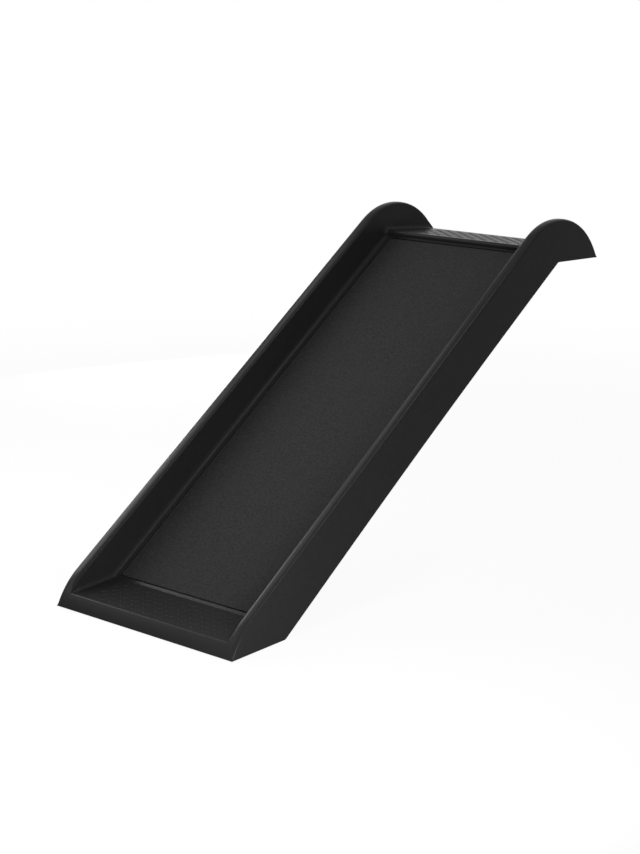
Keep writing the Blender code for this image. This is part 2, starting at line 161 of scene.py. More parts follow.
def line_on_arc(centre, radius, point, along):
    """Where a line that runs outwards crosses an arc."""
    offset = point - centre
    b = offset.dot(along)
    return point + along * (-b + math.sqrt(max(b * b - offset.length_squared + radius**2, 0)))


def rounded_corner(before, corner, after, radius, steps):
    """The points of an arc that rounds a corner between two straight runs."""
    radius = max(radius, LEAST_ROUNDING)
    back, on = (before - corner).normalized(), (after - corner).normalized()
    half = back.angle(on) / 2
    centre = corner + (back + on).normalized() * (radius / math.sin(half))
    reach = radius / math.tan(half)
    start = heading(centre, corner + back * reach)
    turn = (heading(centre, corner + on * reach) - start + math.pi) % math.tau - math.pi
    return arc(centre, radius, start, start + turn, steps)


def joined(*runs):
    """Runs joined end to end, without their shared points."""
    points = list(runs[0])
    for run in runs[1:]:
        points += run[1:]
    return points


# %% [markdown]
# ## The lines that the moulding follows
#
# Seen from the side, the ramp is three lines: the top of the wall, the surface that the dog walks
# on, and the lower edge of the skirt. They could be drawn by hand as curves, but then a change of
# one size would mean drawing them again, so they are worked out from the sizes above. The wall's
# top is a big arc at the nose, a straight run, and a hump over the lip. All three are cut into the
# same number of steps, so that step 10 of one belongs to step 10 of the others: the three points
# are a station, and a section of the ramp is laid over each. The inside of the skin follows the
# same lines, set in by the skin's thickness.

# %% The big arcs at both ends
def tangent_centre(radius, end_point, side):
    """The centre of an arc that touches the wall's straight top and runs down to an end."""
    s, n = (end_point - HEEL).dot(UP_SLOPE), (end_point - HEEL).dot(OFF_SLOPE)
    centre_n = WALL_HEIGHT - radius
    return on_slope(s + side * math.sqrt(radius**2 - (n - centre_n) ** 2), centre_n)


NOSE_END = TOE + UP * BLUNT_EDGE
LIP_END = TIP + OFF_LIP * BLUNT_EDGE
NOSE_CENTRE = tangent_centre(NOSE_RADIUS, NOSE_END, 1)
HUMP_CENTRE = tangent_centre(HUMP_RADIUS, LIP_END, -1)
LIP_TOP = NOTCH + UP * LIP_THICKNESS
edge_reach = math.sqrt(NOSE_RADIUS**2 - (LANDING_EDGE_HEIGHT - NOSE_CENTRE.y) ** 2)
LANDING_EDGE = Vector((NOSE_CENTRE.x - edge_reach, LANDING_EDGE_HEIGHT))
print("landing edge", tuple(LANDING_EDGE), "lip top", tuple(LIP_TOP))


# %% Corners of the walking surface, set in from the outside by an inset
def floor_corners(inset, raised=0):
    """Five corners: landing edge, deck start, riser foot, riser top and lip's edge."""
    deeper = RECESS_DEPTH + inset if inset else 0
    landing = LANDING_EDGE - off(ALONG_LANDING) * (inset - raised)
    deck = on_slope(0, DECK_HEIGHT - deeper + raised)
    riser = on_slope(RISER_START + inset - raised, 0)
    lip = LIP_TOP - off(ALONG_LIP_TOP) * (inset - raised)
    riser_foot = meeting(deck, UP_SLOPE, riser, OFF_SLOPE)
    return (
        line_on_arc(NOSE_CENTRE, NOSE_RADIUS - inset, landing, -ALONG_LANDING),
        meeting(landing, ALONG_LANDING, deck, UP_SLOPE),
        riser_foot,
        meeting(riser_foot, OFF_SLOPE, lip, ALONG_LIP_TOP),
        line_on_arc(HUMP_CENTRE, HUMP_RADIUS - inset, lip, ALONG_LIP_TOP),
    )


for inset in (0, SKIN):
    print("inset", inset, [tuple(round(c, 4) for c in corner) for corner in floor_corners(inset)])

# %% Round those corners
CORNER_STEPS, EDGE_STEPS, CREST_STEPS = 6, 4, 8
# A point this far round an end's arc shows which way the arc runs at its corner.
SMALL_TURN = 0.05


def rounded_floor(inset, raised=0):
    """The five corners, each as the points of its own small arc."""
    edge, deck_start, riser_foot, riser_top, lip_edge = floor_corners(inset, raised)
    nose_angle = heading(NOSE_CENTRE, edge) + SMALL_TURN
    end_angle = heading(HUMP_CENTRE, lip_edge) - SMALL_TURN
    on_nose = arc(NOSE_CENTRE, NOSE_RADIUS - inset, nose_angle, 0, 1)[0]
    on_end = arc(HUMP_CENTRE, HUMP_RADIUS - inset, end_angle, 0, 1)[0]
    deeper = inset - raised
    front = rounded_corner(on_nose, edge, deck_start, LANDING_ROUNDING - deeper, EDGE_STEPS)
    crease = rounded_corner(edge, deck_start, riser_foot, CREASE_FILLET + deeper, CORNER_STEPS)
    foot = rounded_corner(deck_start, riser_foot, riser_top, RISER_FILLET + deeper, CORNER_STEPS)
    crest = rounded_corner(riser_foot, riser_top, lip_edge, RISER_ROUNDING - deeper, CREST_STEPS)
    back = rounded_corner(riser_top, lip_edge, on_end, LANDING_ROUNDING - deeper, EDGE_STEPS)
    if (crest[0] - foot[-1]).dot(OFF_SLOPE) < 0:
        # The crest's arc leaves no straight riser, so the deck runs on until it meets the arc.
        above = next(k for k, point in enumerate(crest) if (point - deck_start).dot(OFF_SLOPE) > 0)
        crossing = meeting(deck_start, UP_SLOPE, crest[above - 1], crest[above] - crest[above - 1])
        foot, crest = [crossing] * len(foot), [crossing] * above + crest[above:]
    return front, crease, foot, crest, back


print("rounded corners of", [len(points) for points in rounded_floor(0)], "points")

# %% The faces at both ends
FACE_STEPS, END_STEPS = 5, 5
# On the inside, the step next to the bottom is shorter than the others.
NEAR_END = 0.3


def nose_face(inset, edge):
    """Up the nose from the sole. The outside is a little blunt at the sole, the inside isn't."""
    if inset:
        reach = math.sqrt((NOSE_RADIUS - inset) ** 2 - NOSE_CENTRE.y**2)
        first = foot = Vector((NOSE_CENTRE.x - reach, 0))
    else:
        first, foot = TOE, NOSE_END
    angles = heading(NOSE_CENTRE, foot), heading(NOSE_CENTRE, edge)
    face = arc(NOSE_CENTRE, NOSE_RADIUS - inset, *angles, FACE_STEPS)
    return [first, first.lerp(face[1], NEAR_END), *face[1:]] if inset else [first, *face]


def lip_face(inset, edge):
    """Down the lip's end to its underside, which is blunt in the same way."""
    if inset:
        last = foot = line_on_arc(HUMP_CENTRE, HUMP_RADIUS - inset, NOTCH, ALONG_LIP)
    else:
        last, foot = TIP, LIP_END
    angles = heading(HUMP_CENTRE, edge), heading(HUMP_CENTRE, foot)
    face = arc(HUMP_CENTRE, HUMP_RADIUS - inset, *angles, END_STEPS)
    return [*face[:-1], last.lerp(face[-2], NEAR_END), last] if inset else [*face, last]


# %% The walking surface
NOSE_STEPS, RUN_STEPS, HUMP_STEPS = 24, 20, 44


@cache
def walking_surface(inset, raised=0):
    """The middle of the ramp, or a line raised off it, with a point for each of the wall's top."""
    front, crease, foot, crest, back = rounded_floor(inset, raised)
    half = CORNER_STEPS // 2
    lip_steps = HUMP_STEPS - EDGE_STEPS - CREST_STEPS - half - 1
    over_landing = straight(front[-1], crease[0], NOSE_STEPS - EDGE_STEPS - half)
    over_deck = straight(crease[-1], foot[0], RUN_STEPS - 2 * half)
    over_lip = straight(crest[-1], back[0], lip_steps)
    nose = [*nose_face(inset, front[0])[:-1], front[0]]
    landing = joined(front, over_landing, crease[: half + 1])
    deck = joined(crease[half:], over_deck, foot[: half + 1])
    lip = joined(foot[half:], [foot[-1], crest[0]], crest, over_lip, back)
    end = [back[-1], *lip_face(inset, back[-1])[1:]]
    return joined(nose, landing, deck, lip, end)


print("walking surface of", len(walking_surface(0)), "points")

# %% How steeply the stations stand
FRONT = FACE_STEPS + 1
CREASE = FRONT + NOSE_STEPS
RISER = CREASE + RUN_STEPS
CREST = RISER + CORNER_STEPS // 2 + 1 + CREST_STEPS
BACK = RISER + HUMP_STEPS
SQUARE = math.degrees(RISE) + 90
# Stations, and the degrees from the level at which each of them stands.
LEANS = [
    (FRONT + EDGE_STEPS, 90),
    (CREASE, SQUARE),
    (RISER - 6, SQUARE),
    (RISER, SQUARE + 26),
    (CREST, SQUARE + 14),
    ((CREST + BACK) // 2, 95),
    (BACK - EDGE_STEPS, 90),
]


def leans(floor):
    """How steeply each station stands: upright at both ends, square to the deck between."""
    far = [0, *accumulate((b - a).length for a, b in zip(floor, floor[1:]))]
    found = [math.radians(90)] * len(floor)
    for (start, low), (stop, high) in zip(LEANS, LEANS[1:]):
        for k in range(start, stop + 1):
            share = (far[k] - far[start]) / (far[stop] - far[start])
            found[k] = math.radians(low + (high - low) * share)
    return found


# %% The wall's top
def wall_over(point, angle, inset):
    """Where a station that starts on the walking surface comes out on the wall's top."""
    along = Vector((math.cos(angle), math.sin(angle)))
    hit = meeting(point, along, on_slope(0, WALL_HEIGHT - inset), UP_SLOPE)
    if (hit - NOSE_CENTRE).dot(UP_SLOPE) < 0:
        return line_on_arc(NOSE_CENTRE, NOSE_RADIUS - inset, point, along)
    if (hit - HUMP_CENTRE).dot(UP_SLOPE) > 0:
        return line_on_arc(HUMP_CENTRE, HUMP_RADIUS - inset, point, along)
    return hit


def wall_top(inset):
    """From the nose over the wall and the hump to the lip's tip."""
    floor = walking_surface(inset)
    stood = leans(floor)
    over = [wall_over(floor[k], stood[k], inset) for k in range(FRONT, BACK + 1)]
    return floor[:FRONT] + over + floor[BACK + 1 :]


# %% The skirt's lower edge
def lower_edge(inset):
    """Foot, heel, arched skirt, notch and lip, in as many steps as the other lines."""
    first, last = walking_surface(inset)[0], walking_surface(inset)[-1]
    heel = rounded_corner(TOE, HEEL, NOTCH, HEEL_FILLET, CORNER_STEPS)
    notch = rounded_corner(HEEL, NOTCH, TIP, NOTCH_FILLET, CORNER_STEPS)
    skirt = [
        point + OFF_SLOPE * SKIRT_ARCH * math.sin(math.pi * k / RUN_STEPS)
        for k, point in enumerate(straight(heel[-1], notch[0], RUN_STEPS))
    ]
    foot = straight(first, heel[0], FRONT + NOSE_STEPS - CORNER_STEPS)
    lip = straight(notch[-1], last, HUMP_STEPS + END_STEPS + 1 - CORNER_STEPS)
    return joined(foot, heel, skirt, notch, lip)


print("three lines of", len(wall_top(0)), len(walking_surface(0)), len(lower_edge(0)), "points")

# %% [markdown]
# ## Working in edit mode from code
#
# Operators act on all that is selected, and loading the frame leaves its nodes selected. So each
# step starts with nothing selected and picks one piece, and points, edges or faces are picked by
# where they are.


# %% Pick one piece and go in and out of edit mode
def only(piece):
    """Makes one piece the selected and active one."""
    bpy.ops.object.select_all(action="DESELECT")
    piece.select_set(True)
    bpy.context.view_layer.objects.active = piece
    return piece


def named(name):
    """Names the primitive that was just added."""
    piece = bpy.context.active_object
    piece.name = piece.data.name = name
    return piece


def edit(piece, mode="VERT"):
    only(piece)
    bpy.ops.object.mode_set(mode="EDIT")
    bpy.ops.mesh.select_mode(type=mode)


def done():
    bpy.ops.object.mode_set(mode="OBJECT")


# %% Pick points, edges or faces by a test
def pick(piece, what, test):
    """Selects the points, edges or faces of a piece in edit mode that pass a test."""
    mesh = bmesh.from_edit_mesh(piece.data)
    bpy.ops.mesh.select_all(action="DESELECT")
    found = [part for part in getattr(mesh, what) if test(part)]
    for part in found:
        part.select = True
    mesh.select_flush_mode()
    bmesh.update_edit_mesh(piece.data)
    return len(found)


# %% Finish a piece
def settle(piece):
    """Moves an object's place and turn into its mesh."""
    only(piece)
    bpy.ops.object.transform_apply(location=True, rotation=True, scale=True)
    return piece


def use_modifier(piece, kind, **settings):
    """Adds a modifier, sets it and applies it."""
    only(piece)
    modifier = piece.modifiers.new(kind.lower(), kind)
    for name, value in settings.items():
        setattr(modifier, name, value)
    bpy.ops.object.modifier_apply(modifier=modifier.name)


def combine(piece, operation, other):
    """Adds or cuts away another piece, which is then thrown away."""
    use_modifier(piece, "BOOLEAN", operation=operation, solver="MANIFOLD", object=other)
    bpy.data.objects.remove(other)


def count(piece):
    print(piece.name, len(piece.data.vertices), "points,", len(piece.data.polygons), "faces")


# %% [markdown]
# ## The moulded skin
#
# The real skin is a 3 mm sheet of plastic that was formed over one tool. It could be made by
# extruding a wall along the slope and rounding its edges, but on the real ramp the wall grows out
# of the nose from nothing, and its rounded edges fade in with it, which a bevel can't do. So the
# skin is made as the tool does it: a flat grid is rolled into a hollow section and every row of it
# is laid over its own station.


# %% The way square off a line
def normals(line):
    """The step off a line at each of its points, mitred at its corners."""
    sides = [off((stop - start).normalized()) for start, stop in zip(line, line[1:])]
    mitred = [(a + b) / (1 + a.dot(b)) for a, b in zip(sides, sides[1:])]
    return [sides[0], *mitred, sides[-1]]


# %% How round the wall's edges are at a station
# A rounding never shrinks below this share of itself, so its points stay apart.
LEAST_SHARE = 0.1


def roundings(rise, off_top, off_floor, outer_height, inset):
    """The depths and widths of a wall's roundings, which fade out where the wall is low."""
    turn = max(off_top.dot(off_floor), 0.0)
    clear_top, clear_floor = max(rise.dot(off_top), 0.0), max(rise.dot(off_floor), 0.0)
    fade = min(
        1.0,
        clear_top / (WALL_ROUNDING + WALL_FOOT_FILLET * turn),
        clear_floor / (WALL_ROUNDING * turn + WALL_FOOT_FILLET),
    )
    full_round = max(WALL_ROUNDING - inset, LEAST_ROUNDING)
    outer_round = min(full_round, outer_height / 2)
    outer_crown = (WALL_CROWN - inset) * min(1.0, outer_round / full_round)
    inner_round = max(WALL_ROUNDING * fade - inset, LEAST_SHARE * WALL_ROUNDING * fade)
    inner_crown = max(WALL_CROWN * fade - inset, LEAST_SHARE * WALL_CROWN * fade)
    fillet = min(
        WALL_FOOT_FILLET * fade + inset,
        (clear_top - inner_round) / max(turn, LEAST_SHARE),
        clear_floor - inner_round * turn,
    )
    lean = clear_top * math.tan(WALL_DRAFT)
    return outer_round, outer_crown, inner_round, inner_crown, round(max(fillet, 0.0), 6), lean


# %% One station's cross-section
ROUND_STEPS = 6
INNER_X = HALF_WIDTH - WALL_WIDTH
quarter = [k / ROUND_STEPS * math.pi / 2 for k in range(ROUND_STEPS + 1)]
QUARTER = [(1 - math.cos(angle), 1 - math.sin(angle)) for angle in quarter]


def half_section(step, top, off_top, off_floor, bottom, inset):
    """From the skirt's lower edge over the wall to the walking surface, at one station."""
    rise, outer_height = top - walking_surface(inset)[step], (top - bottom).length
    outer_round, outer_crown, inner_round, inner_crown, fillet, lean = roundings(
        rise, off_top, off_floor, outer_height, inset
    )
    inner_x, outer_x = INNER_X + inset, HALF_WIDTH - inset
    points = [(outer_x, bottom)]
    for across, down in QUARTER:
        points.append((outer_x - outer_crown * across, top - off_top * outer_round * down))
    for across, down in reversed(QUARTER):
        points.append((inner_x + inner_crown * across, top - off_top * inner_round * down))
    for across, raised in QUARTER:
        foot = walking_surface(inset, fillet * raised)[step]
        points.append((inner_x - lean - fillet * across, foot))
    return points


# %% All stations
def stations(inset):
    """Every station's whole section, from the right skirt over both walls to the left skirt."""
    tops, floors = wall_top(inset), walking_surface(inset)
    lines = zip(tops, normals(tops), normals(floors), lower_edge(inset))
    halves = [half_section(step, *points, inset) for step, points in enumerate(lines)]
    return [half + [(-x, point) for x, point in reversed(half)] for half in halves]


rings = [outer + inner[::-1] for outer, inner in zip(stations(0), stations(SKIN))]
ROWS, COLUMNS = len(rings), len(rings[0])
print(ROWS, "stations of", COLUMNS, "points")


# %% Lay the grid over the stations
def in_frame(x, point):
    """A point of the side view, at a distance across the ramp, as a place in the frame."""
    return Vector((x, FRONT_EDGE.x + point.x, FRONT_EDGE.y + point.y))


def laid_grid(name, rows, columns, place):
    """A grid primitive whose every point is moved to place(row, column)."""
    bpy.ops.object.select_all(action="DESELECT")
    bpy.ops.mesh.primitive_grid_add(x_subdivisions=columns - 1, y_subdivisions=rows - 1, size=1)
    grid = named(name)
    for vertex in grid.data.vertices:
        column = round((vertex.co.x + 0.5) * (columns - 1))
        row = round((vertex.co.y + 0.5) * (rows - 1))
        vertex.co = place(row, column)
    return grid


def on_ring(row, column):
    return in_frame(*rings[row][column % COLUMNS])


shell = laid_grid("ramp_skin", ROWS, COLUMNS + 1, on_ring)
count(shell)

# %% Close the sheet's seam and its two ends
SAME_PLACE = 1e-6
edit(shell)
bpy.ops.mesh.select_all(action="SELECT")
bpy.ops.mesh.remove_doubles(threshold=SAME_PLACE)
bpy.ops.mesh.dissolve_degenerate(threshold=SAME_PLACE)
bpy.ops.mesh.select_non_manifold(extend=False)
bpy.ops.mesh.fill_holes(sides=0)
bpy.ops.mesh.select_all(action="SELECT")
bpy.ops.mesh.normals_make_consistent(inside=False)
done()
count(shell)

# %% [markdown]
# ## The skirt's rim
#
# A moulding is trimmed all round its lower edge, and the trimmed corners are scraped so that they
# don't cut the hand. A narrow bevel on every nearly square corner gives that.

# %% Scrape the trimmed corners
RIM_BEVEL = 0.0006
RIM_TURN = math.radians(82)
edit(shell, "EDGE")
print("rim corners:", pick(shell, "edges", lambda e: e.calc_face_angle(0) > RIM_TURN))
bpy.ops.mesh.bevel(offset=RIM_BEVEL, segments=2, affect="EDGES")
done()
count(shell)

# %% [markdown]
# ## The recess for the mat
#
# The mat lies in a shallow tray, so that its edges can't be caught and peeled. The tray's cutter
# and the mat are the same thing at two sizes: a rectangle with its corners rounded, drawn flat and
# extruded, then laid on the slope. The tray's upper edge is rounded over, and that edge catches
# the light as a fine line.

# %% A slab along the deck
RECESS_START = 0.0065
RECESS_RISER_GAP = 0.0026
RECESS_WALL_GAP = 0.0012
RECESS_CORNER = 0.0058
DECK_WALL = WALL_HEIGHT - DECK_HEIGHT
RECESS_HALF = INNER_X - DECK_WALL * math.tan(WALL_DRAFT) - WALL_FOOT_FILLET - RECESS_WALL_GAP


def deck_slab(name, gap, low, high):
    """A rounded sheet along the deck, in from the recess's edge by a gap, between two heights."""
    start, stop = RECESS_START + gap, RISER_START - RECESS_RISER_GAP - gap
    bpy.ops.object.select_all(action="DESELECT")
    bpy.ops.mesh.primitive_plane_add(size=1)
    slab = named(name)
    edit(slab)
    bpy.ops.mesh.select_all(action="SELECT")
    bpy.ops.transform.resize(value=(2 * (RECESS_HALF - gap), stop - start, 1))
    bpy.ops.mesh.bevel(offset=RECESS_CORNER - gap, segments=8, affect="VERTICES")
    bpy.ops.mesh.select_all(action="SELECT")
    bpy.ops.mesh.extrude_region_move(TRANSFORM_OT_translate={"value": (0, 0, high - low)})
    bpy.ops.mesh.select_all(action="SELECT")
    bpy.ops.mesh.normals_make_consistent(inside=False)
    done()
    slab.rotation_euler.x = RISE
    slab.location = in_frame(0, on_slope((start + stop) / 2, low))
    return settle(slab)


# %% Cut the recess
tray_low, tray_high = DECK_HEIGHT - RECESS_DEPTH, DECK_HEIGHT + RECESS_DEPTH
combine(shell, "DIFFERENCE", deck_slab("recess_cutter", 0, tray_low, tray_high))
count(shell)

# %% Round its edge
RECESS_EDGE_ROUNDING = 0.0007
RECESS_EDGE_TURN = math.radians(80)
LEVEL_WITHIN = 1e-5


def off_deck(place):
    """How far a place in the frame is above the deck's surface."""
    side_view = Vector((place.y, place.z)) - FRONT_EDGE - HEEL
    return side_view.dot(OFF_SLOPE) - DECK_HEIGHT


def on_recess_edge(edge):
    level = all(abs(off_deck(v.co)) < LEVEL_WITHIN for v in edge.verts)
    return level and edge.calc_face_angle(0) > RECESS_EDGE_TURN


edit(shell, "EDGE")
print("recess edges:", pick(shell, "edges", on_recess_edge))
bpy.ops.mesh.bevel(offset=RECESS_EDGE_ROUNDING, segments=3, affect="EDGES")
done()
count(shell)

# %% [markdown]
# ## Ribs under the deck
#
# A 3 mm skin alone would sag under a big dog, so such a moulding is ribbed underneath: lengthwise
# ribs from the nose to the lip, crossed by ribs from skirt to skirt. A cross rib is thinner at its
# free edge, because it has to slide out of the tool. One lengthwise rib and one cross rib are made
# and copied. Each bites a little into the skin, because two solids that only touch don't join.

# %% The outline of a lengthwise rib
RIB_FOOT_HEIGHT = 0.0075
RIB_LEAST_HEIGHT = RIB_FOOT_HEIGHT + 0.0005
RIB_BITE = 0.0012


def has_rib(point):
    """Whether a rib under this point of the skin has any height left."""
    clear_of_lip = (point - NOTCH).dot(OFF_LIP) > RIB_LEAST_HEIGHT
    return point.y > RIB_LEAST_HEIGHT and (clear_of_lip or point.x < NOTCH.x)


roof = [point for point in walking_surface(SKIN - RIB_BITE) if has_rib(point)]
foot_line, slope_line = UP * RIB_FOOT_HEIGHT, on_slope(0, RIB_FOOT_HEIGHT)
lip_line = NOTCH + OFF_LIP * RIB_FOOT_HEIGHT
feet = [
    roof[0] - UP * (roof[0].y - RIB_FOOT_HEIGHT),
    meeting(slope_line, UP_SLOPE, foot_line, LEVEL),
    meeting(lip_line, ALONG_LIP, slope_line, UP_SLOPE),
    roof[-1] - OFF_LIP * (roof[-1] - lip_line).dot(OFF_LIP),
]
print("rib outline of", len(roof) + len(feet), "points")

# %% One lengthwise rib
RIB_THICKNESS = 0.0025
RIB_COLUMNS = 3


def plate(name, outline, thickness, x):
    """A flat outline of the side view made a plate, centred on a distance across the ramp."""
    bpy.ops.object.select_all(action="DESELECT")
    bpy.ops.mesh.primitive_circle_add(vertices=len(outline), fill_type="NGON")
    made = named(name)
    for vertex, point in zip(made.data.vertices, outline):
        vertex.co = in_frame(x - thickness / 2, point)
    edit(made)
    bpy.ops.mesh.select_all(action="SELECT")
    bpy.ops.mesh.extrude_region_move(TRANSFORM_OT_translate={"value": (thickness, 0, 0)})
    bpy.ops.mesh.select_all(action="SELECT")
    bpy.ops.mesh.normals_make_consistent(inside=False)
    done()
    return made


rib_x = [WIDTH * ((k + 1) / (RIB_COLUMNS + 1) - 0.5) for k in range(RIB_COLUMNS)]
rib = plate("lengthwise_rib", roof + feet[::-1], RIB_THICKNESS, rib_x[0])
count(rib)


# %% Copy it to its neighbours
def copy_to(piece, shift):
    """A copy with a mesh of its own, moved by a shift."""
    only(piece)
    bpy.ops.object.duplicate(linked=False)
    copy = bpy.context.active_object
    copy.location = shift
    return settle(copy)


ribs = [rib] + [copy_to(rib, (x - rib_x[0], 0, 0)) for x in rib_x[1:]]
print(len(ribs), "lengthwise ribs")

# %% One cross rib, thinner at its foot
RIB_TAPER = 0.72
CROSS_RIB_SETBACK = 0.001
low = RIB_FOOT_HEIGHT + CROSS_RIB_SETBACK
high = DECK_HEIGHT - RECESS_DEPTH - SKIN + RIB_BITE / 2
reach = HALF_WIDTH - SKIN + RIB_BITE
bpy.ops.object.select_all(action="DESELECT")
bpy.ops.mesh.primitive_cube_add(size=1)
cross_rib = named("cross_rib")
edit(cross_rib)
bpy.ops.mesh.select_all(action="SELECT")
bpy.ops.transform.resize(value=(2 * reach, RIB_THICKNESS, high - low))
pick(cross_rib, "verts", lambda v: v.co.z < 0)
bpy.ops.transform.resize(value=(1, RIB_TAPER, 1), center_override=(0, 0, 0))
done()
cross_rib.rotation_euler.x = RISE
settle(cross_rib)
count(cross_rib)

# %% Copy it up the slope
RIB_SPACING = 0.115
cross_count = int(UNDERSIDE_LENGTH / RIB_SPACING)
first = RIB_SPACING / 2 + (UNDERSIDE_LENGTH - cross_count * RIB_SPACING) / 2
for k in range(cross_count):
    middle = on_slope(first + k * RIB_SPACING, (low + high) / 2)
    ribs.append(copy_to(cross_rib, in_frame(0, middle)))
bpy.data.objects.remove(cross_rib)
print(len(ribs), "ribs in all")

# %% Weld the ribs to the skin
for rib in ribs:
    combine(shell, "UNION", rib)
count(shell)

# %% [markdown]
# ## Bosses and sockets for the pads
#
# Each rubber pad has a round head in a counterbore and a stem pushed up a hole. The moulding has a
# round boss there. It is a plain cylinder joined to the skin, bored with two more cylinders.

# %% Where the pads are
PAD_SIDE_INSET = 0.032
PAD_END_INSET = 0.029
PAD_TIP_INSET = 0.041
# Each row: its place on the underside, its tilt, and a point and the way of the surface over it.
pad_rows = [
    (LEVEL * PAD_END_INSET, 0.0, LANDING_EDGE, ALONG_LANDING),
    (HEEL - LEVEL * PAD_END_INSET, 0.0, LANDING_EDGE, ALONG_LANDING),
    (NOTCH + ALONG_LIP * PAD_END_INSET, -LIP_DROOP, LIP_TOP, ALONG_LIP_TOP),
    (TIP - ALONG_LIP * PAD_TIP_INSET, -LIP_DROOP, LIP_TOP, ALONG_LIP_TOP),
]
pad_x = HALF_WIDTH - PAD_SIDE_INSET
pads = [(side * pad_x, *row) for row in pad_rows for side in (-1, 1)]
print(len(pads), "pads")

# %% Bosses
PAD_RADIUS = 0.011
PAD_CLEARANCE = 0.0003
BOSS_WALL = 0.0025


def upright(name, radius, low, high, x, point, tilt):
    """A cylinder that stands square on the underside, between two heights over it."""
    bpy.ops.object.select_all(action="DESELECT")
    bpy.ops.mesh.primitive_cylinder_add(vertices=48, radius=radius, depth=high - low)
    post = named(name)
    post.rotation_euler.x = tilt
    middle = point + Vector((-math.sin(tilt), math.cos(tilt))) * ((low + high) / 2)
    post.location = in_frame(x, middle)
    return settle(post)


boss_radius = PAD_RADIUS + PAD_CLEARANCE + BOSS_WALL
for x, point, tilt, over, along in pads:
    roof_height = meeting(point, UP, over, along).y - SKIN - point.y + RIB_BITE
    combine(shell, "UNION", upright("boss", boss_radius, 0, roof_height, x, point, tilt))
count(shell)

# %% Bore them for the heads and the stems
PAD_HEAD = 0.0030
PAD_PROUD = 0.0015
STEM_RADIUS = 0.0040
STEM_LENGTH = 0.0080
BORE_START = -0.003
counterbore = PAD_HEAD - PAD_PROUD + PAD_CLEARANCE
bores = ((PAD_RADIUS, counterbore), (STEM_RADIUS, counterbore + STEM_LENGTH))
for x, point, tilt, _, _ in pads:
    for radius, depth in bores:
        bore = upright("bore", radius + PAD_CLEARANCE, BORE_START, depth, x, point, tilt)
        combine(shell, "DIFFERENCE", bore)
count(shell)

# %% [markdown]
# ## Smooth where it is round, flat where it is flat
#
# A mesh is all small flats, and a glossy black surface shows every one of them. Edges that turn
# little are therefore shaded smooth, and sharp ones are kept. On its own that would bend the light
# on the big flats near a rounded edge, as if they were pillows, so the Weighted Normal modifier
# lets the bigger faces decide which way the surface looks.

# %% Smooth the skin and put it on the frame
SMOOTH_TURN = math.radians(38)
FLATS_WEIGHT = 50


def smooth(piece):
    only(piece)
    bpy.ops.object.shade_smooth_by_angle(angle=SMOOTH_TURN)
    use_modifier(piece, "WEIGHTED_NORMAL", weight=FLATS_WEIGHT, keep_sharp=True)


smooth(shell)
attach(shell, "root")
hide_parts("ramp_shell")

# %% [markdown]
# ## The tread mat
#
# The mat is a sheet of gritty rubber, cut with rounded corners a little smaller than its tray, so
# a dark groove shows all round it.

# %% Cut the mat
MAT_EDGE_GAP = 0.0024
MAT_EDGE_ROUNDING = 0.0005
MAT_THICKNESS = 0.0020
BOND_LINE = 0.0003
mat_low = DECK_HEIGHT - RECESS_DEPTH + BOND_LINE
mat_high = mat_low + MAT_THICKNESS
mat = deck_slab("gritty_mat", MAT_EDGE_GAP, mat_low, mat_high)


def on_mat_top(edge):
    return all(off_deck(v.co) > mat_high - DECK_HEIGHT - LEVEL_WITHIN for v in edge.verts)


edit(mat, "EDGE")
print("mat edges:", pick(mat, "edges", on_mat_top))
bpy.ops.mesh.bevel(offset=MAT_EDGE_ROUNDING, segments=2, affect="EDGES")
done()
smooth(mat)
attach(mat, "root")
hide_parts("tread_mat")
count(mat)

# %% [markdown]
# ## Raised tread bars on the lip and the landing
#
# The lip and the landing aren't covered by the mat. Their plastic has a raised chequer tread
# instead: small lens-shaped bars that lie crosswise to their neighbours. Four bars make one cell
# of the pattern, and two Array modifiers repeat the cell, as the toolmaker repeats it when
# engraving the mould.

# %% One bar
BAR_LENGTH = 0.0125
BAR_WIDTH = 0.0042
BAR_TOP = (0.72, 0.45, 1)
BAR_EDGE_BEVEL = 0.0002
BAR_SUNK = 0.0004
FACING_UP = 0.9


def tread_bar(x, y, turn, height):
    """A lens-shaped bar whose top is a share of its foot, sunk a little into the plastic."""
    bpy.ops.object.select_all(action="DESELECT")
    bpy.ops.mesh.primitive_cylinder_add(vertices=10, radius=0.5, depth=1)
    bar = named("bar")
    edit(bar, "FACE")
    bpy.ops.mesh.select_all(action="SELECT")
    bpy.ops.transform.resize(value=(BAR_LENGTH, BAR_WIDTH, height))
    pick(bar, "faces", lambda f: f.normal.z > FACING_UP)
    bpy.ops.transform.resize(value=BAR_TOP, center_override=(0, 0, 0))
    bpy.ops.mesh.bevel(offset=BAR_EDGE_BEVEL, segments=1, affect="EDGES")
    done()
    bar.rotation_euler.z = turn
    bar.location = (x, y, height / 2 - BAR_SUNK)
    return settle(bar)


# %% One cell of four bars
BAR_PITCH = 0.0120
# Each bar's column and row, and which way it is turned.
CELL_SPOTS = [(0, 0, 1), (1, 0, -1), (0, 1, -1), (1, 1, 1)]


def tread_cell(name, proud):
    height = BAR_SUNK + proud
    bars = [
        tread_bar(column * BAR_PITCH, row * BAR_PITCH, way * math.pi / 4, height)
        for column, row, way in CELL_SPOTS
    ]
    bpy.ops.object.select_all(action="DESELECT")
    for bar in bars:
        bar.select_set(True)
    bpy.context.view_layer.objects.active = bars[0]
    bpy.ops.object.join()
    return named(name)


# %% Repeat the cell over a field
BAR_SMOOTH_TURN = math.radians(30)


def repeat(piece, times, step):
    use_modifier(
        piece,
        "ARRAY",
        count=times,
        use_relative_offset=False,
        use_constant_offset=True,
        constant_offset_displace=step,
    )


